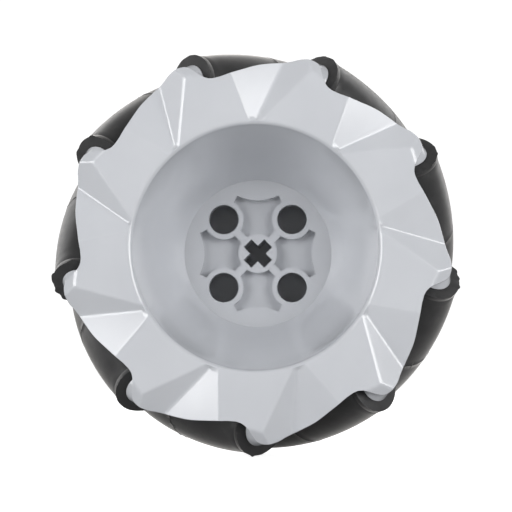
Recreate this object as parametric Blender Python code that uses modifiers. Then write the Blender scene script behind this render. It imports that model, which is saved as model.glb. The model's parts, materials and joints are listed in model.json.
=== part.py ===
"""A 65 mm mecanum wheel: two clamped plastic hub shells that carry nine free rollers at 45 degrees.

The wheel spins about +Y with its centre at the origin. Each piece is laid out face up, in wheel
coordinates (x across, y up the face, z out of the front face), and an empty then stands the wheel
upright, so that its front face looks along -Y.
"""
import math

import bmesh
import bpy
from mathutils import Matrix, Vector

MM = 0.001

# the wheel and its rollers
WHEEL_RADIUS = 32.5 * MM
ROLLERS = 9
SECTOR = math.radians(360 / ROLLERS)
FIRST_ROLLER = math.radians(8.6)        # angle of the first roller's middle
AXIS_RADIUS = 26.0 * MM                 # from the wheel's axis to a roller's axis
ROLLER_TILT = math.radians(45)
RUBBER_HALF = 15.5 * MM
RUBBER_BORE = 3.2 * MM
RUBBER_END = 5.15 * MM                  # the end's radius, a little proud of the barrel
RUBBER_FLARE = 1.6 * MM                 # length of the straight flare to each end
CORE_RADIUS = 2.9 * MM
CORE_HALF = 15.5 * MM
CORE_BORE = 1.3 * MM
PIN_RADIUS = 1.0 * MM
PIN_HALF = 16.9 * MM
PIN_CHAMFER = 0.2 * MM

# the ears that hold the roller pins
EAR_RADIUS = 3.0 * MM
EAR_TIP = 1.9 * MM
EAR_NEAR = 15.8 * MM
EAR_FAR = 18.2 * MM
EAR_POST = (26.2 * MM, 12.1 * MM)       # an upright post ties each ear to the plate
EAR_POST_RADIUS = 1.5 * MM
EAR_POST_SPAN = (11.9 * MM, 13.6 * MM)
PIN_HOLE_RADIUS = 1.3 * MM
PIN_HOLE_HALF = 17.2 * MM

# the hub shells, heights from the wheel's middle plane
RIM_HEIGHT = 15.5 * MM
RIM_RADIUS = 19.3 * MM
WALL = 1.5 * MM
WEB_RADIUS = 12.2 * MM
FRONT_WEB_FACE = -2.0 * MM
FRONT_WEB = 2.8 * MM
REAR_WEB_FACE = 12.8 * MM               # measured towards the rear face
REAR_WEB = 2.0 * MM
REAR_WEB_RADIUS = 14.5 * MM
SKIRT_RADIUS = 13.7 * MM
SHELL_JOINT = -7.75 * MM                # height of the plane where the shells meet
GAP = 0.3 * MM

# the faceted plate round each shell
PLATE = 1.3 * MM
PLATE_ROOT = 20.1 * MM
PLATE_LIP = 0.4 * MM
EAR_PHASE = math.radians(21.9)          # from a roller's middle to the start of its ear's bump

# the web's 8 mm grid of round holes about a cross-shaped axle hole
GRID = 8.0 * MM
PIN_SOCKET_RADIUS = 2.45 * MM
SOCKET_WALL = 0.85 * MM
CROSS_SPAN = 4.85 * MM
CROSS_ARM = 1.8 * MM
CENTRE_BOSS = 3.25 * MM
RIB_HALF = 0.65 * MM
POCKET_DEPTH = 2.0 * MM
POCKET_MIDDLE = 8.85 * MM
POCKET_CORNER = (10.2 * MM, math.radians(19.7))
POCKET_SHOULDER = (9.4 * MM, math.radians(25.0))

# the rear web's centre boss and the four screws that clamp the shells
AXLE_TUBE = 3.6 * MM
AXLE_TUBE_TOP = -5.1 * MM
CROSS_FLOOR = -11.8 * MM
REAR_BOSS = 5.5 * MM
REAR_BOSS_RISE = 1.0 * MM
SCREWS = 4
SCREW_CIRCLE = 9.6 * MM
SCREW_RADIUS = 0.9 * MM
SCREW_TIP = -5.6 * MM
SCREW_HEAD_RADIUS = 1.75 * MM
SCREW_HEAD = 0.8 * MM
SCREW_SEAT = -11.6 * MM
DRIVE_SPAN = 1.9 * MM
DRIVE_ARM = 0.5 * MM
DRIVE_DEPTH = 0.5 * MM
POST_RADIUS = 2.0 * MM

# fineness of the turned shapes
RUBBER_SIDES = 20
CORE_SIDES = 14
PIN_SIDES = 10
SHELL_SIDES = 36
HOLE_SIDES = 14
SEAM = Matrix.Rotation(FIRST_ROLLER, 4, "Z")    # keeps the shells' facets off the holes' centre lines

COLOURS = {
    "hub_plastic": ((0.60, 0.61, 0.64, 1), 0.30, 0.0),
    "roller_rubber": ((0.03, 0.03, 0.032, 1), 0.62, 0.0),
    "core_plastic": ((0.05, 0.05, 0.055, 1), 0.45, 0.0),
    "pin_steel": ((0.62, 0.62, 0.63, 1), 0.28, 1.0),
    "screw_steel": ((0.45, 0.45, 0.46, 1), 0.35, 1.0),
}


def clear_scene():
    for ob in list(bpy.data.objects):
        bpy.data.objects.remove(ob, do_unlink=True)


def new_collection(name):
    group = bpy.data.collections.new(name)
    bpy.context.scene.collection.children.link(group)
    return group


def finish_for(name):
    """The Principled material of one kind of piece."""
    made = bpy.data.materials.get(name)
    if made is None:
        colour, roughness, metallic = COLOURS[name]
        made = bpy.data.materials.new(name)
        made.use_nodes = True
        shader = made.node_tree.nodes["Principled BSDF"]
        shader.inputs["Base Color"].default_value = colour
        shader.inputs["Roughness"].default_value = roughness
        shader.inputs["Metallic"].default_value = metallic
    return made


def add_object(name, mesh, group, parent, local=None):
    ob = bpy.data.objects.new(name, mesh)
    group.objects.link(ob)
    ob.parent = parent
    if local is not None:
        ob.matrix_local = local
    return ob


def as_cutter(ob):
    ob.hide_render = True
    ob.display_type = "WIRE"
    return ob


def smooth(ob, angle=35):
    ob.data.shade_smooth()
    ob.data.set_sharp_from_angle(angle=math.radians(angle))
    return ob


def boolean(ob, other, operation):
    step = ob.modifiers.new(operation.title(), "BOOLEAN")
    step.operation = operation
    step.solver = "EXACT"
    step.object = other


def turned(name, profile, sides, group, parent, local=None, closed=True):
    """A profile of (radius, height) points turned about z. It runs down its outer side."""
    mesh = bpy.data.meshes.new(name)
    points = [(r, 0, z) for r, z in profile]
    edges = [(i, i + 1) for i in range(len(points) - 1)]
    if closed:
        edges.append((len(points) - 1, 0))
    mesh.from_pydata(points, edges, [])
    ob = add_object(name, mesh, group, parent, local)
    screw = ob.modifiers.new("Turn", "SCREW")
    screw.steps = screw.render_steps = sides
    screw.use_merge_vertices = True
    screw.merge_threshold = 1e-6
    return ob


def rod_mesh(name, radius, low, high, sides, places, tip=None):
    """Cylinders along z from low to high, one for each matrix in places. A tip radius makes cones."""
    form = bmesh.new()
    for place in places:
        middle = Matrix.Translation((0, 0, (low + high) / 2))
        bmesh.ops.create_cone(form, cap_ends=True, segments=sides, radius1=radius,
                              radius2=radius if tip is None else tip, depth=high - low,
                              matrix=place @ middle)
    mesh = bpy.data.meshes.new(name)
    form.to_mesh(mesh)
    form.free()
    return mesh


def flat_solid(name, outlines, low, high, group, parent):
    """A solid between two heights with each outline's shape, made from a filled 2D curve."""
    curve = bpy.data.curves.new(name, "CURVE")
    curve.dimensions = "2D"
    curve.fill_mode = "BOTH"
    curve.extrude = (high - low) / 2
    for outline in outlines:
        spline = curve.splines.new("POLY")
        spline.points.add(len(outline) - 1)
        for point, (x, y) in zip(spline.points, outline):
            point.co = (x, y, 0, 1)
        spline.use_cyclic_u = True
    guide = bpy.data.objects.new(name + "_outline", curve)
    guide.location.z = (low + high) / 2
    group.objects.link(guide)
    bpy.context.view_layer.update()
    evaluated = guide.evaluated_get(bpy.context.evaluated_depsgraph_get())
    mesh = bpy.data.meshes.new_from_object(evaluated)
    place = guide.matrix_world.copy()
    bpy.data.objects.remove(guide, do_unlink=True)
    form = bmesh.new()
    form.from_mesh(mesh)
    bmesh.ops.remove_doubles(form, verts=form.verts, dist=1e-7)
    form.to_mesh(mesh)
    form.free()
    return add_object(name, mesh, group, parent, place)


def polar(radius, angle):
    return (radius * math.cos(angle), radius * math.sin(angle))


def arc(centre, radius, start, end, count):
    """Points along an arc, both ends included."""
    found = []
    for i in range(count):
        x, y = polar(radius, start + (end - start) * i / (count - 1))
        found.append((centre[0] + x, centre[1] + y))
    return found


def turn_points(points, angle):
    c, s = math.cos(angle), math.sin(angle)
    return [(c * x - s * y, s * x + c * y) for x, y in points]


def cross_outline(span, arm, angle):
    """A plus sign of four equal arms, turned by an angle."""
    a, b = span / 2, arm / 2
    quarter = [(a, -b), (a, b), (b, b)]
    found = []
    for i in range(4):
        found += turn_points(quarter, math.radians(90 * i))
    return turn_points(found, angle)


# ---------------------------------------------------------------- rollers

def roller_matrix(index):
    """Places a roller, made along z, on its own 45 degree axis in wheel coordinates."""
    turn = Matrix.Rotation(FIRST_ROLLER + index * SECTOR, 4, "Z")
    lean = Matrix.Rotation(-ROLLER_TILT, 4, "X")
    return turn @ Matrix.Translation((AXIS_RADIUS, 0, 0)) @ lean


def barrel_radius(along):
    """The rubber's radius at a distance along its axis, so that it reaches the wheel's outside."""
    lean = along * math.sin(ROLLER_TILT)
    best = WHEEL_RADIUS - math.hypot(AXIS_RADIUS, lean)
    for i in range(24):
        # the point of this ring that lies furthest from the wheel's axis, at an angle round the ring
        t = math.radians(2 * i)
        out, side = math.cos(t), math.sin(t) * math.cos(ROLLER_TILT)
        b = AXIS_RADIUS * out + lean * side
        a = out * out + side * side
        c = AXIS_RADIUS ** 2 + lean ** 2 - WHEEL_RADIUS ** 2
        reach = (-b + math.sqrt(b * b - a * c)) / a
        best = reach if i == 0 else min(best, reach)
    return best


def make_roller(index, group, parent):
    """The rubber barrel and its core turn together; the pin stays in the hub."""
    place = roller_matrix(index)
    spans = 6
    edge = RUBBER_HALF - RUBBER_FLARE
    outside = []
    for i in range(spans + 1):
        z = edge - 2 * edge * i / spans
        outside.append((barrel_radius(z), z))
    profile = [(RUBBER_BORE, RUBBER_HALF), (RUBBER_END, RUBBER_HALF), *outside,
               (RUBBER_END, -RUBBER_HALF), (RUBBER_BORE, -RUBBER_HALF)]
    name = f"roller_rubber_{index + 1}"
    rubber = turned(name, profile, RUBBER_SIDES, group, parent, place)
    rubber.data.materials.append(finish_for("roller_rubber"))
    smooth(rubber)

    profile = [(CORE_BORE, CORE_HALF), (CORE_RADIUS, CORE_HALF),
               (CORE_RADIUS, -CORE_HALF), (CORE_BORE, -CORE_HALF)]
    core = turned(f"roller_core_{index + 1}", profile, CORE_SIDES, group, parent, place)
    core.data.materials.append(finish_for("core_plastic"))
    smooth(core)

    tip = PIN_RADIUS - PIN_CHAMFER
    profile = [(0, PIN_HALF), (tip, PIN_HALF), (PIN_RADIUS, PIN_HALF - PIN_CHAMFER),
               (PIN_RADIUS, PIN_CHAMFER - PIN_HALF), (tip, -PIN_HALF), (0, -PIN_HALF)]
    pin = turned(f"roller_pin_{index + 1}", profile, PIN_SIDES, group, parent, place, closed=False)
    pin.data.materials.append(finish_for("pin_steel"))
    smooth(pin)


# ---------------------------------------------------------------- the faceted plate

# One sector of the plate, as straight rulings: degrees past the ear's start, radius and height in mm
# at the plate's edge, then degrees and height at its root circle. A flat facet ends in a ridge at the
# ear's bump (0.3), falls to a valley at 10.5 and rises to a ridge at 28.3, where the next one starts.
RULINGS = [
    (0.3, 30.55, 15.6, 16.8, 15.4), (2.8, 30.95, 14.4, 18.5, 14.9), (6, 30.75, 13.3, 18.5, 14.9),
    (10.5, 29.9, 12.5, 18.5, 14.9), (18, 29.05, 13.8, 18.5, 14.9), (28.3, 27.7, 15.6, 23, 15.4),
    (33, 27.45, 15.6, 33, 15.4), (36.3, 28.0, 15.6, 45, 15.4), (38.3, 29.2, 15.6, 51, 15.4),
]


def plate_columns():
    """(root angle and height, edge angle, radius and height) round the whole plate."""
    found = []
    for sector in range(ROLLERS):
        start = FIRST_ROLLER + EAR_PHASE + sector * SECTOR
        for phase, radius, height, root, root_height in RULINGS:
            found.append((start + math.radians(root), root_height * MM, start + math.radians(phase),
                          radius * MM, height * MM))
    return found


def plate_ring(name, group, parent):
    """The faceted ring: rings of points joined by quads, because its two edges are unlike."""
    rings = []
    for root, root_height, angle, radius, height in plate_columns():
        inner = polar(PLATE_ROOT, root)
        lip = polar(radius - PLATE_LIP, angle)
        outer = polar(radius, angle)
        rings.append([
            (*inner, root_height),
            (*lip, height),
            (*outer, height - PLATE_LIP),
            (*outer, height - PLATE),
            (*inner, root_height - PLATE),
        ])
    form = bmesh.new()
    rows = [[form.verts.new(p) for p in ring] for ring in rings]
    for i, row in enumerate(rows):
        after = rows[(i + 1) % len(rows)]
        for j in range(len(row)):
            k = (j + 1) % len(row)
            quad = (row[j], row[k], after[k], after[j])
            if j in (0, 4):
                form.faces.new((quad[0], quad[1], quad[2]))
                form.faces.new((quad[0], quad[2], quad[3]))
            else:
                form.faces.new(quad)
    # three rulings share one point of the root circle, so their facets end in a corner there
    bmesh.ops.remove_doubles(form, verts=form.verts, dist=1e-6)
    bmesh.ops.recalc_face_normals(form, faces=form.faces)
    mesh = bpy.data.meshes.new(name)
    form.to_mesh(mesh)
    form.free()
    return as_cutter(add_object(name, mesh, group, parent))


def bowl_curve(floor_radius, floor_height, steps):
    """The bowl's inner side from the rim down to its floor: part straight, part sine."""
    found = []
    for i in range(steps + 1):
        t = 1 - i / steps
        swell = 0.55 * t + 0.45 * math.sin(math.pi / 2 * t)
        radius = floor_radius + (RIM_RADIUS - floor_radius) * swell
        found.append((radius, floor_height + (RIM_HEIGHT - 0.6 * MM - floor_height) * t))
    return found


def rim_and_outside(steps, floor_radius, floor_height):
    """The rounded rim and then the wall's outer side, top to bottom."""
    inside = bowl_curve(floor_radius, floor_height, steps)
    rim = [(RIM_RADIUS + 0.25 * MM, RIM_HEIGHT - 0.15 * MM), (RIM_RADIUS + 0.75 * MM, RIM_HEIGHT)]
    outside = [(RIM_RADIUS + WALL, RIM_HEIGHT - PLATE)]
    for radius, height in inside[1:]:
        outside.append((radius + WALL, min(height, outside[-1][1] - 0.4 * MM)))
    return inside, rim, outside


def ears(name, group, parent):
    """Nine short tapered bosses on the roller axes."""
    places = [roller_matrix(i) for i in range(ROLLERS)]
    mesh = rod_mesh(name, EAR_RADIUS, EAR_NEAR, EAR_FAR, HOLE_SIDES, places, EAR_TIP)
    return as_cutter(add_object(name, mesh, group, parent))


def ear_posts(name, group, parent):
    places = [Matrix.Rotation(FIRST_ROLLER + i * SECTOR, 4, "Z") @ Matrix.Translation((*EAR_POST, 0))
              for i in range(ROLLERS)]
    mesh = rod_mesh(name, EAR_POST_RADIUS, *EAR_POST_SPAN, PIN_SIDES, places)
    return as_cutter(add_object(name, mesh, group, parent))


def roller_room(name, group, parent):
    """Keeps the plate's underside clear of the rollers' front ends."""
    places = [roller_matrix(i) for i in range(ROLLERS)]
    mesh = rod_mesh(name, RUBBER_END + GAP, RUBBER_HALF - 4.0 * MM, EAR_NEAR,
                    RUBBER_SIDES, places)
    return as_cutter(add_object(name, mesh, group, parent))


def pin_holes(group, parent):
    places = [roller_matrix(i) for i in range(ROLLERS)]
    mesh = rod_mesh("pin_holes", PIN_HOLE_RADIUS, -PIN_HOLE_HALF, PIN_HOLE_HALF, PIN_SIDES, places)
    return as_cutter(add_object("pin_holes", mesh, group, parent))


# ---------------------------------------------------------------- hub shells

def pocket_outline():
    """One of the web's four recesses, symmetric about +x."""
    corner = polar(GRID, math.radians(45))
    socket = PIN_SOCKET_RADIUS + SOCKET_WALL
    rib_out = math.asin(RIB_HALF / socket)
    rib_in = math.asin(RIB_HALF / CENTRE_BOSS)
    shoulder = polar(*POCKET_SHOULDER)
    at_shoulder = math.atan2(shoulder[1] - corner[1], shoulder[0] - corner[0])
    upper = arc((0, 0), CENTRE_BOSS, 0, math.radians(45) - rib_in, 4)
    upper += arc(corner, socket, math.radians(-135) + rib_out, at_shoulder, 8)
    upper.append(polar(*POCKET_CORNER))
    lower = [(x, -y) for x, y in reversed(upper[1:])]
    return upper + [(POCKET_MIDDLE, 0)] + lower


def web_cutters(group, parent):
    """Cutters for the front web: four round holes, four pockets and the cross hole."""
    over = 1.0 * MM
    low, high = FRONT_WEB_FACE - FRONT_WEB - over, FRONT_WEB_FACE + over
    turns = [Matrix.Rotation(math.radians(45 + 90 * i), 4, "Z") for i in range(4)]
    places = [turn @ Matrix.Translation((GRID, 0, 0)) for turn in turns]
    holes = rod_mesh("grid_holes", PIN_SOCKET_RADIUS, low, high, HOLE_SIDES, places)
    found = [as_cutter(add_object("grid_holes", holes, group, parent))]
    outlines = [turn_points(pocket_outline(), math.radians(90 * i)) for i in range(4)]
    pockets = flat_solid("web_pockets", outlines, FRONT_WEB_FACE - POCKET_DEPTH, high, group, parent)
    found.append(as_cutter(pockets))
    return found


def cross_cutter(group, parent):
    outline = cross_outline(CROSS_SPAN, CROSS_ARM, math.radians(45))
    cutter = flat_solid("axle_cross", [outline], CROSS_FLOOR, FRONT_WEB_FACE + 1.0 * MM, group, parent)
    return as_cutter(cutter)


def screw_places():
    return [Matrix.Rotation(math.radians(90 * i), 4, "Z") @ Matrix.Translation((SCREW_CIRCLE, 0, 0))
            for i in range(SCREWS)]


def make_front_shell(group, cutters, parent, shared):
    """The deep bowl with its web, the faceted plate, the front ears and the screw posts."""
    inside, rim, outside = rim_and_outside(6, WEB_RADIUS, FRONT_WEB_FACE)
    back = FRONT_WEB_FACE - FRONT_WEB
    end = SHELL_JOINT + GAP / 2
    profile = [(0, FRONT_WEB_FACE), *reversed(inside), *rim, *outside[:-1],
               (SKIRT_RADIUS, FRONT_WEB_FACE - 0.5 * MM), (SKIRT_RADIUS, end),
               (SKIRT_RADIUS - WALL, end), (SKIRT_RADIUS - WALL, back), (0, back)]
    shell = turned("front_hub_shell", profile, SHELL_SIDES, group, parent, SEAM, closed=False)
    shell.data.materials.append(finish_for("hub_plastic"))
    posts = rod_mesh("screw_posts", POST_RADIUS, REAR_WEB - REAR_WEB_FACE + GAP, back + 0.2 * MM,
                     HOLE_SIDES, screw_places())
    posts = as_cutter(add_object("screw_posts", posts, cutters, parent))
    boolean(shell, plate_ring("front_plate", cutters, parent), "UNION")
    boolean(shell, roller_room("front_room", cutters, parent), "DIFFERENCE")
    boolean(shell, ear_posts("front_ear_posts", cutters, parent), "UNION")
    boolean(shell, ears("front_ears", cutters, parent), "UNION")
    boolean(shell, posts, "UNION")
    for cutter in shared + web_cutters(cutters, parent):
        boolean(shell, cutter, "DIFFERENCE")
    return shell


def make_rear_shell(group, cutters, parent, wheel, shared):
    """The shallow rear bowl. It is laid out face up as well, and its own empty turns it over."""
    inside, rim, outside = rim_and_outside(4, REAR_WEB_RADIUS, REAR_WEB_FACE)
    back = REAR_WEB_FACE - REAR_WEB
    end = -SHELL_JOINT + GAP / 2
    boss_top = REAR_WEB_FACE + REAR_BOSS_RISE
    profile = [(0, boss_top), (REAR_BOSS - 0.3 * MM, boss_top), (REAR_BOSS, boss_top - 0.3 * MM),
               (REAR_BOSS, REAR_WEB_FACE), *reversed(inside), *rim, *outside[:-1],
               (REAR_WEB_RADIUS + WALL, back), (SKIRT_RADIUS, back - 0.6 * MM), (SKIRT_RADIUS, end),
               (SKIRT_RADIUS - WALL, end), (SKIRT_RADIUS - WALL, back), (AXLE_TUBE, back),
               (AXLE_TUBE, -AXLE_TUBE_TOP), (0, -AXLE_TUBE_TOP)]
    shell = turned("rear_hub_shell", profile, SHELL_SIDES, group, parent, SEAM, closed=False)
    shell.data.materials.append(finish_for("hub_plastic"))
    seats = rod_mesh("screw_seats", SCREW_HEAD_RADIUS + GAP, -REAR_WEB_FACE - 1.0 * MM,
                     SCREW_SEAT, HOLE_SIDES, screw_places())
    seats = as_cutter(add_object("screw_seats", seats, cutters, wheel))
    boolean(shell, plate_ring("rear_plate", cutters, parent), "UNION")
    boolean(shell, roller_room("rear_room", cutters, parent), "DIFFERENCE")
    boolean(shell, ear_posts("rear_ear_posts", cutters, parent), "UNION")
    boolean(shell, ears("rear_ears", cutters, parent), "UNION")
    for cutter in [*shared, seats]:
        boolean(shell, cutter, "DIFFERENCE")
    return shell


def make_screws(group, cutters, parent):
    """Pan-head screws driven in from the rear face."""
    top = SCREW_SEAT - 0.05 * MM
    outer = top - SCREW_HEAD
    for i, place in enumerate(screw_places()):
        profile = [(0, SCREW_TIP), (0.5 * SCREW_RADIUS, SCREW_TIP),
                   (SCREW_RADIUS, SCREW_TIP - 0.6 * MM), (SCREW_RADIUS, top),
                   (SCREW_HEAD_RADIUS, top), (SCREW_HEAD_RADIUS, outer + 0.3 * MM),
                   (SCREW_HEAD_RADIUS - 0.3 * MM, outer), (0, outer)]
        screw = turned(f"shell_screw_{i + 1}", profile, HOLE_SIDES, group, parent, place, closed=False)
        screw.data.materials.append(finish_for("screw_steel"))
        outline = cross_outline(DRIVE_SPAN, DRIVE_ARM, math.radians(7 + 20 * i))
        outline = [(x + place.translation.x, y + place.translation.y) for x, y in outline]
        drive = flat_solid(f"drive_{i + 1}", [outline], outer - 1.0 * MM, outer + DRIVE_DEPTH,
                           cutters, parent)
        boolean(screw, as_cutter(drive), "DIFFERENCE")


def main():
    clear_scene()
    parts = new_collection("mecanum_wheel")
    cutters = new_collection("cutters")
    upright = bpy.data.objects.new("wheel_axis", None)
    parts.objects.link(upright)
    upright.rotation_euler = (math.radians(90), 0, 0)
    # half a turn about a roller's middle carries the front shell's ears to the rollers' other ends
    flipped = bpy.data.objects.new("rear_face", None)
    parts.objects.link(flipped)
    flipped.parent = upright
    flipped.matrix_local = Matrix.Rotation(math.pi, 4, Vector((*polar(1, FIRST_ROLLER), 0)))

    shared = [pin_holes(cutters, upright), cross_cutter(cutters, upright)]
    clearance = rod_mesh("screw_holes", SCREW_RADIUS + GAP, -REAR_WEB_FACE - 1.0 * MM,
                         SCREW_TIP + 0.4 * MM, PIN_SIDES, screw_places())
    shared.append(as_cutter(add_object("screw_holes", clearance, cutters, upright)))
    smooth(make_front_shell(parts, cutters, upright, shared), 25)
    smooth(make_rear_shell(parts, cutters, flipped, upright, shared), 25)
    for index in range(ROLLERS):
        make_roller(index, parts, upright)
    make_screws(parts, cutters, upright)


main()
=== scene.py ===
"""The looks of a 65 mm mecanum wheel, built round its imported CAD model.

The wheel spins about the frame's Y axis and its front face looks along -Y. Shapes are laid out in wheel
coordinates, with x across, y up the face and z out of the front face, and are then stood upright.
"""
import json
import math

import bmesh
import bpy
import numpy as np
from mathutils import Matrix, Vector


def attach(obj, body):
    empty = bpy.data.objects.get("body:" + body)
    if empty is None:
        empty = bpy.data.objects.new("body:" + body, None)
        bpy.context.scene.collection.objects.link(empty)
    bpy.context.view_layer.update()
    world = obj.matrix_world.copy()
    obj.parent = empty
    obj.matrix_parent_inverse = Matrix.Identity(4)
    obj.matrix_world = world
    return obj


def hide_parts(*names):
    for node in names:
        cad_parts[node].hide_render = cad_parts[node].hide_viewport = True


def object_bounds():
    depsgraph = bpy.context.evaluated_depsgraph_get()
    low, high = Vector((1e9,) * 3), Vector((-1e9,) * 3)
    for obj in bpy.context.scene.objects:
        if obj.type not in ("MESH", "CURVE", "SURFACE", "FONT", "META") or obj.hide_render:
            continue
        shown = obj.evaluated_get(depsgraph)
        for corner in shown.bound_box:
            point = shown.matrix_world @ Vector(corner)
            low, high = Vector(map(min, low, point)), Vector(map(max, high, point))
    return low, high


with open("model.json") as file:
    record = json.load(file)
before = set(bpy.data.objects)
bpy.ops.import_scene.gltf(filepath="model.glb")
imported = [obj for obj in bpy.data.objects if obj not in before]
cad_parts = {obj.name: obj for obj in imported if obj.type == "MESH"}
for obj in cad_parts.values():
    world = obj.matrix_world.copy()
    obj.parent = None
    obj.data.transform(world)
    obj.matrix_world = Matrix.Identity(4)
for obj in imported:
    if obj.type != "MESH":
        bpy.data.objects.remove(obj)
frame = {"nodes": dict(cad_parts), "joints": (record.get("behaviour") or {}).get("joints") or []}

CAD_LOW, CAD_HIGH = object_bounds()
MM = 0.001

# the rollers, from the frame's joints
JOINTS = frame["joints"]
ROLLERS = len(JOINTS)
SECTOR = 2 * math.pi / ROLLERS
SECTOR_DEGREES = 360 / ROLLERS
FIRST_ROLLER = math.atan2(JOINTS[0]["pos_m"][2], JOINTS[0]["pos_m"][0])
AXIS_RADIUS = math.hypot(JOINTS[0]["pos_m"][0], JOINTS[0]["pos_m"][2])
ROLLER_TILT = math.radians(45)
WHEEL_RADIUS = 32.42 * MM
RUBBER_HALF = 15.5 * MM
RUBBER_BORE = 3.0 * MM
RUBBER_END = 4.75 * MM
RUBBER_FLARE = 1.6 * MM
RUBBER_SIDES = 144
FLASH_THICKNESS = 0.05 * MM
MOULD_LINE = 0.035 * MM     # depth of the fine groove near each end

# the ears and pins at the rollers' ends
EAR_RADIUS = 3.1 * MM
EAR_TIP = 1.9 * MM
EAR_NEAR = 15.6 * MM
EAR_FAR = 18.2 * MM
EAR_POST = (26.2 * MM, 12.1 * MM)
EAR_POST_RADIUS = 1.5 * MM
EAR_POST_SPAN = (11.9 * MM, 13.6 * MM)
ROLLER_ROOM = 0.42 * MM     # round the rollers' ends, under the plate
PIN_HOLE_RADIUS = 1.3 * MM
PIN_HOLE_HALF = 17.2 * MM

# the shells, with heights from the middle plane towards the face in question
WALL = 1.5 * MM
PLATE = 1.2 * MM
ROOT_RADIUS = 20.3 * MM
ROOT_HEIGHT = 15.4 * MM
RIM_RADIUS = 19.3 * MM
RIM_ROUND = 0.8 * MM
LIP_ROUND = 0.5 * MM
LIP_UNDER_ROUND = 0.3 * MM
FRONT_WEB_FACE = -2.0 * MM
FRONT_WEB_BACK = -4.8 * MM
FRONT_WEB_RADIUS = 12.2 * MM
REAR_WEB_FACE = 12.8 * MM
REAR_WEB_BACK = 10.8 * MM
REAR_WEB_RADIUS = 14.5 * MM
SKIRT_RADIUS = 13.7 * MM
FRONT_SKIRT_END = -7.6 * MM
REAR_SKIRT_END = 7.9 * MM

# the rear boss, its axle tube and the clamping screws, towards the rear face
REAR_BOSS = 5.5 * MM
REAR_BOSS_FACE = 13.8 * MM
AXLE_TUBE = 3.6 * MM
AXLE_TUBE_END = 5.1 * MM
CROSS_FLOOR = 11.8 * MM
SCREW_CIRCLE = 9.6 * MM
SCREW_HOLE = 1.2 * MM
SCREW_SEAT = 11.6 * MM
SCREW_SEAT_RADIUS = 2.05 * MM
POST_RADIUS = 2.0 * MM
POST_END = -10.5 * MM
BORE_END = -5.2 * MM
OVERSHOOT = 1.0 * MM        # how far a cutter runs past the face it cuts

# the web's 8 mm grid
GRID = 8.0 * MM
SOCKET_RADIUS = 2.45 * MM
SOCKET_WALL = 0.85 * MM
CROSS_SPAN = 4.85 * MM
CROSS_ARM = 1.85 * MM
CENTRE_BOSS = 3.25 * MM
RIB_HALF = 0.65 * MM
RELIEF = 2.0 * MM
EDGE_STEP = 0.12 * MM       # width of the fine step round the pockets and sockets, half as deep
POCKET_MIDDLE = 8.85 * MM
POCKET_CORNER = (10.2 * MM, math.radians(19.7))
POCKET_SHOULDER = (9.4 * MM, math.radians(25.0))

# mould flash in mm on each roller: at its front and rear ends, and on its middle seam
END_FLASH = [(0.28, 0.12), (0.10, 0.10), (0.10, 0.08), (0.24, 0.12), (0.34, 0.14), (0.04, 0.10),
             (0.24, 0.10), (0.03, 0.08), (0.34, 0.10)]
SEAM_FLASH = [0.05, 0.04, 0.05, 0.14, 0.14, 0.05, 0.12, 0.04, 0.12]

COLUMNS = 120               # of the shells' grid, in each sector
EAR_PHASE = math.radians(21.9)          # from a roller's middle to the start of its ear's bump

UPRIGHT = Matrix.Rotation(math.radians(90), 4, "X")
TO_REAR = Matrix.Rotation(math.pi, 4, Vector((math.cos(FIRST_ROLLER), math.sin(FIRST_ROLLER), 0)))

# One sector of the plate's edge: degrees past the ear's start and radius in mm
EDGE_OUTLINE = [
    (0, 30.50), (1.2, 30.85), (3, 30.97), (6, 30.72), (8, 30.30), (10.5, 29.90), (14, 29.48),
    (18, 29.05), (20, 28.77), (24, 28.19), (28.3, 27.72), (31, 27.5), (33, 27.46), (34.6, 27.58),
    (36.3, 28.05), (37.3, 28.6), (38.5, 29.5),
]
# Corners of one sector's facets: degrees past the ear's start, radius and height in mm
VALLEY_OUT, VALLEY_IN = (10.5, 29.9, 12.5), (18.5, 20.3, 14.86)
RIDGE_OUT, RIDGE_IN = (28.3, 27.7, 15.6), (23.0, 20.3, 15.4)
BUMP_CORNER = (1.8, 28.9, 15.5)
FLAT_MIDDLE, FLAT_HEIGHT, FLAT_SLOPE = 0.25, 15.09, 0.016
FLANK_TURN, FLANK_SLOPE = -15.0, 0.75       # the bump's short side towards the notch


# ---------------------------------------------------------------- mesh helpers

def link(name, mesh):
    ob = bpy.data.objects.new(name, mesh)
    bpy.context.scene.collection.objects.link(ob)
    return ob


def smooth(ob, degrees=32):
    ob.data.shade_smooth()
    ob.data.set_sharp_from_angle(angle=math.radians(degrees))
    return ob


def paint(ob, finish):
    ob.data.materials.clear()
    ob.data.materials.append(finish)


def grid_mesh(name, rings, cap_first=False, cap_last=False, wrap=True):
    """A mesh from rings of points. wrap joins the last ring to the first; a cap closes an end."""
    rings = np.asarray(rings, float)
    count, across = rings.shape[:2]
    index = np.arange(count * across).reshape(count, across)
    faces = []
    for i in range(count if wrap else count - 1):
        a, b = index[i], index[(i + 1) % count]
        faces += list(zip(a, b, np.roll(b, -1), np.roll(a, -1)))
    if cap_first:
        faces.append(tuple(index[0]))
    if cap_last:
        faces.append(tuple(reversed(index[-1])))
    mesh = bpy.data.meshes.new(name)
    mesh.from_pydata(rings.reshape(-1, 3).tolist(), [], [tuple(int(v) for v in f) for f in faces])
    form = bmesh.new()
    form.from_mesh(mesh)
    bmesh.ops.recalc_face_normals(form, faces=form.faces)
    form.to_mesh(mesh)
    form.free()
    return mesh


def turned_mesh(name, profile, sides=64, closed=False):
    """A profile of (radius, height) points turned about z; an open profile ends on two flat caps."""
    angles = np.arange(sides) * 2 * math.pi / sides
    rings = [[(r * math.cos(a), r * math.sin(a), z) for a in angles] for r, z in profile]
    return grid_mesh(name, rings, not closed, not closed, wrap=closed)


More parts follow.
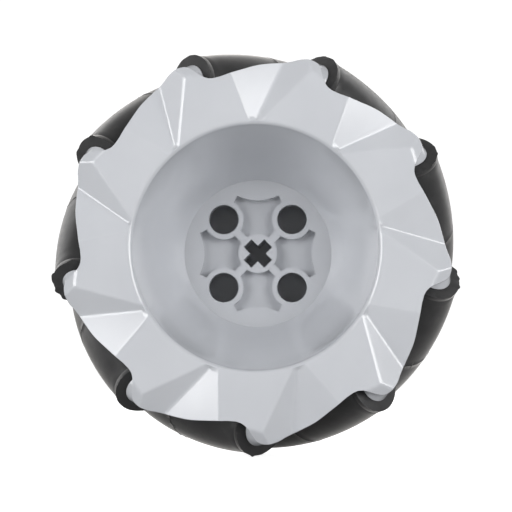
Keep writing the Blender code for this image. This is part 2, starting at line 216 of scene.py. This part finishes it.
def rounded_rod(name, radius, low, high, soft, sides=48, tip=None):
    """A cylinder along z with rounded edges, or a cone if its tip has a radius of its own."""
    tip = radius if tip is None else tip
    profile = []
    for a in quarter(4):
        profile.append((radius - soft + soft * math.sin(a), low + soft - soft * math.cos(a)))
    for a in quarter(4):
        profile.append((tip - soft + soft * math.cos(a), high - soft + soft * math.sin(a)))
    return turned_mesh(name, profile, sides)


def plain_rod(name, radius, low, high, sides=48):
    return turned_mesh(name, [(radius, low), (radius, high)], sides)


def joined(name, meshes):
    """One mesh from (mesh, matrix) pairs."""
    form = bmesh.new()
    for mesh, place in meshes:
        copy = mesh.copy()
        copy.transform(place)
        form.from_mesh(copy)
        bpy.data.meshes.remove(copy)
    made = bpy.data.meshes.new(name)
    form.to_mesh(made)
    form.free()
    return made


def cut(mesh, steps):
    """The mesh after a row of (operation, other mesh) Booleans."""
    ob = link("cut_work", mesh)
    others = []
    for operation, other in steps:
        helper = link("cut_tool", other)
        others.append(helper)
        step = ob.modifiers.new(operation, "BOOLEAN")
        step.operation = operation
        step.solver = "MANIFOLD"
        step.object = helper
    bpy.context.view_layer.update()
    evaluated = ob.evaluated_get(bpy.context.evaluated_depsgraph_get())
    made = bpy.data.meshes.new_from_object(evaluated)
    for spare in [ob, *others]:
        bpy.data.objects.remove(spare, do_unlink=True)
    return made


def quarter(steps, of=None):
    """Angles from 0 to 90 degrees: the whole run of steps, or the part that a range picks."""
    return [math.radians(90 * i / steps) for i in (of or range(steps + 1))]


def polar(radius, angle):
    return (radius * math.cos(angle), radius * math.sin(angle))


def arc(centre, radius, start, end, count):
    found = []
    for i in range(count):
        x, y = polar(radius, start + (end - start) * i / (count - 1))
        found.append((centre[0] + x, centre[1] + y))
    return found


def turn_points(points, angle):
    c, s = math.cos(angle), math.sin(angle)
    return [(c * x - s * y, s * x + c * y) for x, y in points]


def flat_solid(name, outlines, low, high, grow=0.0):
    """A flat piece between two heights, from a filled 2D curve, with its outline moved out by grow."""
    curve = bpy.data.curves.new(name, "CURVE")
    curve.dimensions = "2D"
    curve.fill_mode = "BOTH"
    curve.extrude = (high - low) / 2
    curve.offset = grow
    for outline in outlines:
        spline = curve.splines.new("POLY")
        spline.points.add(len(outline) - 1)
        for point, (x, y) in zip(spline.points, outline):
            point.co = (x, y, 0, 1)
        spline.use_cyclic_u = True
    guide = link(name + "_guide", curve)
    bpy.context.view_layer.update()
    evaluated = guide.evaluated_get(bpy.context.evaluated_depsgraph_get())
    mesh = bpy.data.meshes.new_from_object(evaluated)
    bpy.data.objects.remove(guide, do_unlink=True)
    form = bmesh.new()
    form.from_mesh(mesh)
    bmesh.ops.remove_doubles(form, verts=form.verts, dist=1e-6)
    form.to_mesh(mesh)
    form.free()
    mesh.transform(Matrix.Translation((0, 0, (low + high) / 2)))
    return mesh


# ---------------------------------------------------------------- materials

def new_material(name):
    made = bpy.data.materials.new(name)
    made.use_nodes = True
    nodes = made.node_tree.nodes
    return made, nodes, made.node_tree.links, nodes["Principled BSDF"]


def noise_node(nodes, links, coords, scale, detail=3.0, roughness=0.5):
    node = nodes.new("ShaderNodeTexNoise")
    node.inputs["Scale"].default_value = scale
    node.inputs["Detail"].default_value = detail
    node.inputs["Roughness"].default_value = roughness
    links.new(coords, node.inputs["Vector"])
    return node


def ramp_node(nodes, links, value, stops):
    """A colour ramp of (position, colour or grey level) stops."""
    node = nodes.new("ShaderNodeValToRGB")
    elements = node.color_ramp.elements
    while len(elements) < len(stops):
        elements.new(0.5)
    for element, (position, colour) in zip(elements, stops):
        element.position = position
        element.color = (*colour, 1) if isinstance(colour, tuple) else (colour, colour, colour, 1)
    links.new(value, node.inputs["Fac"])
    return node


def bump_node(nodes, links, height, strength, distance):
    node = nodes.new("ShaderNodeBump")
    node.inputs["Strength"].default_value = strength
    node.inputs["Distance"].default_value = distance
    links.new(height, node.inputs["Height"])
    return node


def hub_plastic():
    """Smooth light grey moulded plastic: faint flow clouding, uneven gloss and a soft orange peel."""
    made, nodes, links, shader = new_material("hub_plastic")
    coords = nodes.new("ShaderNodeTexCoord").outputs["Object"]
    clouds = noise_node(nodes, links, coords, 90, 4)
    colour = ramp_node(nodes, links, clouds.outputs["Fac"],
                       [(0.3, (0.545, 0.56, 0.592)), (0.7, (0.58, 0.595, 0.626))])
    links.new(colour.outputs["Color"], shader.inputs["Base Color"])
    gloss = ramp_node(nodes, links, noise_node(nodes, links, coords, 260, 2).outputs["Fac"],
                      [(0.35, 0.20), (0.75, 0.27)])
    links.new(gloss.outputs["Color"], shader.inputs["Roughness"])
    peel = noise_node(nodes, links, coords, 700, 2)
    bump = bump_node(nodes, links, peel.outputs["Fac"], 0.12, 0.00004)
    links.new(bump.outputs["Normal"], shader.inputs["Normal"])
    shader.inputs["IOR"].default_value = 1.55
    shader.inputs["Coat Weight"].default_value = 0.6
    shader.inputs["Coat Roughness"].default_value = 0.1
    return made


def roller_rubber():
    """Black rubber: fine grain, dusty patches and scuffs."""
    made, nodes, links, shader = new_material("roller_rubber")
    coords = nodes.new("ShaderNodeTexCoord").outputs["Object"]
    dust = noise_node(nodes, links, coords, 320, 6, 0.65)
    colour = ramp_node(nodes, links, dust.outputs["Fac"],
                       [(0.35, (0.017, 0.017, 0.018)), (0.62, (0.028, 0.028, 0.029)),
                        (0.80, (0.06, 0.058, 0.055))])
    links.new(colour.outputs["Color"], shader.inputs["Base Color"])
    gloss = ramp_node(nodes, links, noise_node(nodes, links, coords, 900, 3).outputs["Fac"],
                      [(0.3, 0.34), (0.7, 0.46)])
    links.new(gloss.outputs["Color"], shader.inputs["Roughness"])
    grain = noise_node(nodes, links, coords, 4200, 3)
    bump = bump_node(nodes, links, grain.outputs["Fac"], 0.25, 0.00003)
    links.new(bump.outputs["Normal"], shader.inputs["Normal"])
    shader.inputs["IOR"].default_value = 1.52
    shader.inputs["Sheen Weight"].default_value = 0.9
    shader.inputs["Sheen Roughness"].default_value = 0.35
    shader.inputs["Sheen Tint"].default_value = (1.0, 0.97, 0.94, 1)
    return made


def core_plastic():
    made, nodes, links, shader = new_material("core_plastic")
    coords = nodes.new("ShaderNodeTexCoord").outputs["Object"]
    cloud = noise_node(nodes, links, coords, 500, 3)
    colour = ramp_node(nodes, links, cloud.outputs["Fac"],
                       [(0.3, (0.03, 0.03, 0.033)), (0.7, (0.05, 0.05, 0.054))])
    links.new(colour.outputs["Color"], shader.inputs["Base Color"])
    shader.inputs["Roughness"].default_value = 0.5
    return made


def steel(name, tone, rough):
    """Drawn steel with fine marks."""
    made, nodes, links, shader = new_material(name)
    coords = nodes.new("ShaderNodeTexCoord").outputs["Object"]
    marks = noise_node(nodes, links, coords, 2500, 4)
    colour = ramp_node(nodes, links, marks.outputs["Fac"],
                       [(0.3, (tone * 0.9, tone * 0.9, tone * 0.91)), (0.7, (tone, tone, tone * 1.01))])
    links.new(colour.outputs["Color"], shader.inputs["Base Color"])
    gloss = ramp_node(nodes, links, marks.outputs["Fac"], [(0.3, rough), (0.7, rough + 0.12)])
    links.new(gloss.outputs["Color"], shader.inputs["Roughness"])
    shader.inputs["Metallic"].default_value = 1.0
    return made


# ---------------------------------------------------------------- the faceted shells

def corner_point(corner):
    phase, radius, height = corner
    return Vector((*polar(radius * MM, math.radians(phase)), height * MM))


def plane_height(corners, x, y):
    """Heights over (x, y) on the plane through three corners."""
    a, b, c = [corner_point(k) for k in corners]
    n = (b - a).cross(c - a)
    return a.z - (n.x * (x - a.x) + n.y * (y - a.y)) / n.z


def facet_height(x, y):
    """The faceted top: a ridge where the lower of two planes wins, a valley where the higher does."""
    angle = np.arctan2(y, x) - FIRST_ROLLER - EAR_PHASE
    radius = np.hypot(x, y)
    phase = angle % SECTOR
    px, py = radius * np.cos(phase), radius * np.sin(phase)
    near = plane_height((BUMP_CORNER, VALLEY_OUT, VALLEY_IN), px, py)
    far = plane_height((VALLEY_OUT, RIDGE_OUT, RIDGE_IN), px, py)
    height = np.maximum(near, far)
    corner = corner_point(BUMP_CORNER)
    lean = math.radians(FLANK_TURN)
    for turn in (0, SECTOR):
        across = ((radius * np.cos(phase - turn) - corner.x) * math.cos(lean)
                  + (radius * np.sin(phase - turn) - corner.y) * math.sin(lean))
        height = np.minimum(height, corner.z - FLANK_SLOPE * across)
        out = radius * np.cos(phase - turn - math.radians(FLAT_MIDDLE))
        height = np.minimum(height, FLAT_HEIGHT * MM + FLAT_SLOPE * out)
    return height


def column_angles():
    total = COLUMNS * ROLLERS
    return np.arange(total) * 2 * math.pi / total


def plate_rings(steps):
    """Rings of the plate's top side from its root circle to its edge."""
    angles = column_angles()
    places, values = np.array(EDGE_OUTLINE).T
    outline = periodic_curve(places, values * MM, SECTOR_DEGREES)
    edge = outline(np.degrees(angles - FIRST_ROLLER - EAR_PHASE) % SECTOR_DEGREES)
    rings = []
    for s in steps:
        r = ROOT_RADIUS + (edge - ROOT_RADIUS) * s
        x, y = r * np.cos(angles), r * np.sin(angles)
        rings.append(np.stack([x, y, blur(facet_height(x, y), 0.8)], 1))
    return rings


def periodic_curve(places, values, period):
    """A smooth periodic curve through points, by cubic pieces with limited slopes."""
    x = np.concatenate([places - period, places, places + period])
    y = np.tile(values, 3)
    slope = np.diff(y) / np.diff(x)
    tangent = np.zeros(len(x))
    for i in range(1, len(x) - 1):
        a, b = slope[i - 1], slope[i]
        tangent[i] = 0 if a * b <= 0 else 2 * a * b / (a + b)

    def at(where):
        w = (where - places[0]) % period + places[0]
        i = np.clip(np.searchsorted(x, w) - 1, 0, len(x) - 2)
        span = x[i + 1] - x[i]
        t = (w - x[i]) / span
        return ((2 * t ** 3 - 3 * t ** 2 + 1) * y[i] + (t ** 3 - 2 * t ** 2 + t) * span * tangent[i]
                + (3 * t ** 2 - 2 * t ** 3) * y[i + 1] + (t ** 3 - t ** 2) * span * tangent[i + 1])
    return at


def blur(values, width):
    """A periodic run of values softened over a few columns."""
    reach = int(3 * width + 1)
    weights = np.exp(-0.5 * (np.arange(-reach, reach + 1) / width) ** 2)
    weights /= weights.sum()
    return sum(w * np.roll(values, k - reach) for k, w in enumerate(weights))


def circle_ring(radius, height):
    angles = column_angles()
    return np.stack([radius * np.cos(angles), radius * np.sin(angles), np.full(len(angles), height)], 1)


def bowl_profile(floor_radius, floor_height, steps):
    """The bowl's inner side from its floor up to the start of the rim's rounding."""
    found = []
    top = ROOT_HEIGHT - RIM_ROUND
    for i in range(steps + 1):
        t = i / steps
        swell = 0.55 * t + 0.45 * math.sin(math.pi / 2 * t)
        found.append((floor_radius + (RIM_RADIUS - floor_radius) * swell,
                      floor_height + (top - floor_height) * t))
    return found


def shell_mesh(name, floor_radius, floor_height, back, skirt_end, steps):
    """One closed shell: bowl, rounded rim, faceted plate, outer wall and skirt."""
    bowl = bowl_profile(floor_radius, floor_height, steps)
    rings = [circle_ring(r, h) for r, h in bowl]
    for a in quarter(5, range(1, 5)):
        rings.append(circle_ring(RIM_RADIUS + RIM_ROUND * (1 - math.cos(a)),
                                 ROOT_HEIGHT - RIM_ROUND * (1 - math.sin(a))))
    top = plate_rings([i / 30 for i in range(30)] + [0.99])
    edge = plate_rings([1.0])[0]
    rings += top
    out = edge[:, :2] / np.linalg.norm(edge[:, :2], axis=1)[:, None]
    lip = [(LIP_ROUND * (1 - math.sin(a)), LIP_ROUND * (1 - math.cos(a))) for a in quarter(5)]
    lip += [(LIP_UNDER_ROUND * (1 - math.cos(a)), PLATE - LIP_UNDER_ROUND * (1 - math.sin(a)))
            for a in quarter(2)]
    rings += [np.column_stack([edge[:, :2] - out * inset, edge[:, 2] - drop]) for inset, drop in lip]
    for ring in reversed(top[2:-2:4]):
        rings.append(ring - np.array([0, 0, PLATE]))
    foot = ROOT_HEIGHT - PLATE - 0.7 * MM
    outside = [(RIM_RADIUS + WALL, foot)]
    for r, h in reversed(bowl[:-1]):
        low = max(min(h, outside[-1][1] - 0.3 * MM), back)
        if r + WALL > SKIRT_RADIUS + 0.1 * MM and low < outside[-1][1] - 0.2 * MM:
            outside.append((r + WALL, low))
    rings += [circle_ring(r, h) for r, h in outside]
    shoulder = outside[-1][1] - 0.5 * MM
    rings += [circle_ring(SKIRT_RADIUS, min(shoulder, back)), circle_ring(SKIRT_RADIUS, skirt_end + 0.1 * MM),
              circle_ring(SKIRT_RADIUS - 0.1 * MM, skirt_end),
              circle_ring(SKIRT_RADIUS - WALL, skirt_end), circle_ring(SKIRT_RADIUS - WALL, back)]
    return grid_mesh(name, rings, True, True, wrap=False)


def roller_place(index):
    """Places a shape made along z on one roller's axis, in wheel coordinates."""
    turn = Matrix.Rotation(FIRST_ROLLER + index * SECTOR, 4, "Z")
    return turn @ Matrix.Translation((AXIS_RADIUS, 0, 0)) @ Matrix.Rotation(-ROLLER_TILT, 4, "X")


def ear_steps():
    """Room for the rollers' ends, then the posts, the ears on the rollers' axes and the pin holes."""
    room = plain_rod("room", RUBBER_END + ROLLER_ROOM, RUBBER_HALF - 4.0 * MM, EAR_NEAR, 64)
    rod = rounded_rod("ear", EAR_RADIUS, EAR_NEAR, EAR_FAR, 0.06 * MM, tip=EAR_TIP)
    hole = plain_rod("pin_hole", PIN_HOLE_RADIUS, -PIN_HOLE_HALF, PIN_HOLE_HALF, 32)
    places = [roller_place(i) for i in range(ROLLERS)]
    rooms, rods, holes = [joined("parts", [(piece, p) for p in places]) for piece in (room, rod, hole)]
    post = plain_rod("ear_post", EAR_POST_RADIUS, *EAR_POST_SPAN)
    upright = [Matrix.Rotation(FIRST_ROLLER + i * SECTOR, 4, "Z") @ Matrix.Translation((*EAR_POST, 0))
               for i in range(ROLLERS)]
    posts = joined("parts", [(post, p) for p in upright])
    return [("DIFFERENCE", rooms), ("UNION", posts), ("UNION", rods), ("DIFFERENCE", holes)]


def screw_places():
    return [Matrix.Rotation(math.radians(90 * i), 4, "Z") @ Matrix.Translation((SCREW_CIRCLE, 0, 0))
            for i in range(4)]


def grid_turns():
    return [Matrix.Rotation(math.radians(45 + 90 * i), 4, "Z") for i in range(4)]


def cross_outline(span, arm, angle):
    a, b = span / 2, arm / 2
    found = []
    for i in range(4):
        found += turn_points([(a, -b), (a, b), (b, b)], math.radians(90 * i))
    return turn_points(found, angle)


def pocket_outline():
    """One of the web's four recesses, symmetric about +x."""
    corner = polar(GRID, math.radians(45))
    socket = SOCKET_RADIUS + SOCKET_WALL
    rib_out = math.asin(RIB_HALF / socket)
    rib_in = math.asin(RIB_HALF / CENTRE_BOSS)
    shoulder = polar(*POCKET_SHOULDER)
    at_shoulder = math.atan2(shoulder[1] - corner[1], shoulder[0] - corner[0])
    upper = arc((0, 0), CENTRE_BOSS, 0, math.radians(45) - rib_in, 9)
    upper += arc(corner, socket, math.radians(-135) + rib_out, at_shoulder, 20)
    corner_x, corner_y = polar(*POCKET_CORNER)
    bulge = []
    for i in range(12):
        t = i / 12
        bulge.append((corner_x + (POCKET_MIDDLE - corner_x) * math.sin(math.pi / 2 * t), corner_y * (1 - t)))
    upper += bulge
    return upper + [(POCKET_MIDDLE, 0)] + [(x, -y) for x, y in reversed(upper[1:])]


def finish_shell(name, mesh, place, finish, node):
    mesh.transform(place)
    ob = smooth(link(name, mesh))
    paint(ob, finish)
    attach(ob, "hub")
    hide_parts(node)


def make_front_shell(finish):
    shell = shell_mesh("front_shell", FRONT_WEB_RADIUS, FRONT_WEB_FACE, FRONT_WEB_BACK, FRONT_SKIRT_END, 22)
    low, high = FRONT_WEB_BACK - OVERSHOOT, FRONT_WEB_FACE + OVERSHOOT
    socket = plain_rod("socket", SOCKET_RADIUS, low, high, 64)
    post = plain_rod("post", POST_RADIUS, POST_END, FRONT_WEB_BACK + 0.2 * MM)
    bore = plain_rod("bore", SCREW_HOLE, POST_END - OVERSHOOT, BORE_END, 32)
    places = [turn @ Matrix.Translation((GRID, 0, 0)) for turn in grid_turns()]
    sockets = joined("sockets", [(socket, p) for p in places])
    cross = flat_solid("cross", [cross_outline(CROSS_SPAN, CROSS_ARM, math.radians(45))], low, high)
    outlines = [turn_points(pocket_outline(), math.radians(90 * i)) for i in range(4)]
    pockets = flat_solid("pockets", outlines, FRONT_WEB_FACE - RELIEF, high)
    step_floor = FRONT_WEB_FACE - EDGE_STEP / 2
    pocket_steps = flat_solid("pocket_steps", outlines, step_floor, high, EDGE_STEP)
    collar = plain_rod("collar", SOCKET_RADIUS + EDGE_STEP, step_floor, high, 64)
    collars = joined("collars", [(collar, p) for p in places])
    posts, bores = [joined("parts", [(piece, p) for p in screw_places()]) for piece in (post, bore)]
    mesh = cut(shell, [*ear_steps(), ("DIFFERENCE", sockets), ("DIFFERENCE", cross),
                       ("DIFFERENCE", pockets), ("DIFFERENCE", pocket_steps), ("DIFFERENCE", collars),
                       ("UNION", posts), ("DIFFERENCE", bores)])
    finish_shell("front_shell", mesh, UPRIGHT, finish, "front_hub_shell")


def make_rear_shell(finish):
    shell = shell_mesh("rear_shell", REAR_WEB_RADIUS, REAR_WEB_FACE, REAR_WEB_BACK, REAR_SKIRT_END, 8)
    boss = rounded_rod("boss", REAR_BOSS, REAR_WEB_BACK + 0.4 * MM, REAR_BOSS_FACE, 0.3 * MM, 96)
    tube = plain_rod("tube", AXLE_TUBE, AXLE_TUBE_END, REAR_WEB_BACK + 0.5 * MM)
    turn = 2 * FIRST_ROLLER - math.radians(45)
    cross = flat_solid("cross", [cross_outline(CROSS_SPAN, CROSS_ARM, turn)],
                       AXLE_TUBE_END - OVERSHOOT, CROSS_FLOOR)
    seat = plain_rod("seat", SCREW_SEAT_RADIUS, SCREW_SEAT, REAR_WEB_FACE + OVERSHOOT)
    bore = plain_rod("bore", SCREW_HOLE, REAR_WEB_BACK - OVERSHOOT, REAR_WEB_FACE + OVERSHOOT, 32)
    turned_back = [TO_REAR @ p @ Matrix.Rotation(math.pi, 4, "X") for p in screw_places()]
    seats, bores = [joined("parts", [(piece, p) for p in turned_back]) for piece in (seat, bore)]
    mesh = cut(shell, [*ear_steps(), ("UNION", boss), ("UNION", tube), ("DIFFERENCE", cross),
                       ("DIFFERENCE", seats), ("DIFFERENCE", bores)])
    finish_shell("rear_shell", mesh, UPRIGHT @ TO_REAR, finish, "rear_hub_shell")


# ---------------------------------------------------------------- rollers

def barrel_radius(along):
    """The rubber's radius at a distance along its axis, so that it reaches the wheel's outside."""
    lean = along * math.sin(ROLLER_TILT)
    t = np.radians(np.arange(0, 60, 1.0))
    out, side = np.cos(t), np.sin(t) * math.cos(ROLLER_TILT)
    b = AXIS_RADIUS * out + lean * side
    a = out * out + side * side
    c = AXIS_RADIUS ** 2 + lean ** 2 - WHEEL_RADIUS ** 2
    return float(((-b + np.sqrt(b * b - a * c)) / a).min())


def rubber_radius(along):
    """The barrel, with a slight flare to each end."""
    start = RUBBER_HALF - RUBBER_FLARE
    if abs(along) <= start:
        return barrel_radius(along)
    t = (abs(along) - start) / RUBBER_FLARE
    return barrel_radius(start) * (1 - t) + RUBBER_END * t


def ragged(rng, angles, amount, busy):
    """Uneven lengths of mould flash round a ring: a torn run of small tags."""
    waves = np.zeros(len(angles))
    for k in range(2, busy):
        waves += np.sin(k * angles + rng.uniform(0, 2 * math.pi)) * rng.uniform(0.4, 1.0) / math.sqrt(busy)
    return amount * np.clip(waves + 0.1, 0, 1.2)


def rubber_mesh(index, rng, end_flash, seam_flash):
    """A barrel with a fine groove near each end, a middle seam and thin ragged flash at its ends."""
    sides, half = RUBBER_SIDES, RUBBER_HALF
    angles = np.arange(sides) * 2 * math.pi / sides
    flash = [ragged(rng, angles, end_flash[i] * MM, 20) for i in range(2)]
    seam = 0.03 * MM + ragged(rng, angles, seam_flash * MM, 30)
    spans = [(half - 0.16 * MM, 0.0), (half - 0.75 * MM, 0.0), (half - 0.82 * MM, -MOULD_LINE),
             (half - 0.92 * MM, -MOULD_LINE), (half - 1.0 * MM, 0.0)]
    spans += [(half - 1.0 * MM - (half - 1.15 * MM) * i / 14, 0.0) for i in range(1, 14)]

    def side(sign, tags):
        """Rings from the bore at one end to the seam."""
        thin = FLASH_THICKNESS
        found = [(RUBBER_BORE, half - 0.06 * MM), (RUBBER_BORE + 0.06 * MM, half),
                 (RUBBER_END - 0.03 * MM, half), (RUBBER_END + tags, half - 0.01 * MM),
                 (RUBBER_END + tags, half - thin), (RUBBER_END, half - thin - 0.02 * MM)]
        found += [(rubber_radius(z) + lift, z) for z, lift in spans]
        found.append((rubber_radius(0), 0.06 * MM))
        return [(r, sign * z) for r, z in found]
    rows = side(1, flash[0]) + [(rubber_radius(0) + seam, 0.0)] + side(-1, flash[1])[::-1]
    rings = [np.stack([r * np.cos(angles), r * np.sin(angles), np.full(sides, z)], 1) for r, z in rows]
    return grid_mesh(f"rubber_{index}", rings)


def make_rollers(rubber, core, pin):
    rng = np.random.default_rng(7)
    for index, joint in enumerate(JOINTS):
        mesh = rubber_mesh(index, rng, END_FLASH[index], SEAM_FLASH[index])
        mesh.transform(UPRIGHT @ roller_place(index))
        ob = smooth(link(f"rubber_roller_{index + 1}", mesh))
        ob.data.materials.append(rubber)
        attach(ob, joint["child"])
        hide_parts(f"roller_rubber_{index + 1}")
        for node, finish in (("roller_core", core), ("roller_pin", pin)):
            paint(frame["nodes"][f"{node}_{index + 1}"], finish)


def finish_screws(finish):
    for name, node in frame["nodes"].items():
        if name.startswith("shell_screw"):
            paint(node, finish)


# ---------------------------------------------------------------- stage

def camera_only(nodes, links, plain, seen, output):
    """Shows the camera one shader and every other ray the plain one."""
    choice = nodes.new("ShaderNodeMixShader")
    links.new(nodes.new("ShaderNodeLightPath").outputs["Is Camera Ray"], choice.inputs["Fac"])
    links.new(plain, choice.inputs[1])
    links.new(seen, choice.inputs[2])
    links.new(choice.outputs["Shader"], output)


def make_floor():
    """A pale floor under the wheel, bright to the camera and dimmer as a source of bounced light."""
    mesh = bpy.data.meshes.new("floor")
    form = bmesh.new()
    bmesh.ops.create_grid(form, x_segments=1, y_segments=1, size=4.0)
    form.to_mesh(mesh)
    form.free()
    floor = link("floor", mesh)
    floor.location.z = CAD_LOW.z - 0.0002
    made, nodes, links, shader = new_material("floor_white")
    coords = nodes.new("ShaderNodeTexCoord").outputs["Object"]
    tone = ramp_node(nodes, links, noise_node(nodes, links, coords, 6, 2).outputs["Fac"],
                     [(0.2, 0.86), (0.8, 0.88)])
    links.new(tone.outputs["Color"], shader.inputs["Base Color"])
    shader.inputs["Roughness"].default_value = 0.9
    shader.inputs["Emission Color"].default_value = (1, 1, 1, 1)
    shader.inputs["Emission Strength"].default_value = 0.85
    dim = nodes.new("ShaderNodeBsdfDiffuse")
    dim.inputs["Color"].default_value = (0.5, 0.5, 0.5, 1)
    camera_only(nodes, links, dim.outputs["BSDF"], shader.outputs["BSDF"],
                nodes["Material Output"].inputs["Surface"])
    mesh.materials.append(made)


def make_surround():
    """A white backdrop with soft light from everywhere."""
    world = bpy.data.worlds.new("surround")
    bpy.context.scene.world = world
    world.use_nodes = True
    nodes, links = world.node_tree.nodes, world.node_tree.links
    ambient = nodes["Background"]
    ambient.inputs["Color"].default_value = (1, 1, 1, 1)
    ambient.inputs["Strength"].default_value = 0.25
    backdrop = nodes.new("ShaderNodeBackground")
    backdrop.inputs["Strength"].default_value = 1.1
    backdrop.inputs["Color"].default_value = (1, 1, 1, 1)
    camera_only(nodes, links, ambient.outputs["Background"], backdrop.outputs["Background"],
                nodes["World Output"].inputs["Surface"])


def make_lights():
    """Two soft boxes either side of the front, and two weaker ones behind."""
    for side, x in (("left", -1), ("right", 1)):
        add_light(f"{side}_box", (0.432 * x, -0.417, 0.0), 4.3)
        add_light(f"rear_{side}_box", (0.38 * x, 0.40, 0.25), 1.1)
    bpy.context.scene.view_settings.view_transform = "Standard"


def add_light(name, place, power):
    lamp = bpy.data.lights.new(name, "AREA")
    lamp.shape = "SQUARE"
    lamp.size = 0.5
    lamp.energy = power
    ob = bpy.data.objects.new(name, lamp)
    ob.location = place
    ob.rotation_euler = (-Vector(place)).to_track_quat("-Z", "Y").to_euler()
    bpy.context.scene.collection.objects.link(ob)


def make_camera():
    """Straight on to the front face from a little below and to the right, 300 mm away."""
    distance, tilt = 0.300, math.radians(3.7)
    aim = Vector((-0.00026, 0, -0.00054))
    side = Vector((0.40, 0, -0.91)) * math.sin(tilt)
    data = bpy.data.cameras.new("camera")
    data.lens = 128
    data.sensor_width = 36
    cam = bpy.data.objects.new("camera", data)
    cam.location = aim + (side + Vector((0, -math.cos(tilt), 0))) * distance
    cam.rotation_euler = (aim - cam.location).to_track_quat("-Z", "Y").to_euler()
    bpy.context.scene.collection.objects.link(cam)
    bpy.context.scene.camera = cam


def main():
    plastic = hub_plastic()
    make_front_shell(plastic)
    make_rear_shell(plastic)
    make_rollers(roller_rubber(), core_plastic(), steel("pin_steel", 0.62, 0.25))
    finish_screws(steel("screw_steel", 0.45, 0.3))
    make_floor()
    make_surround()
    make_lights()
    make_camera()


main()
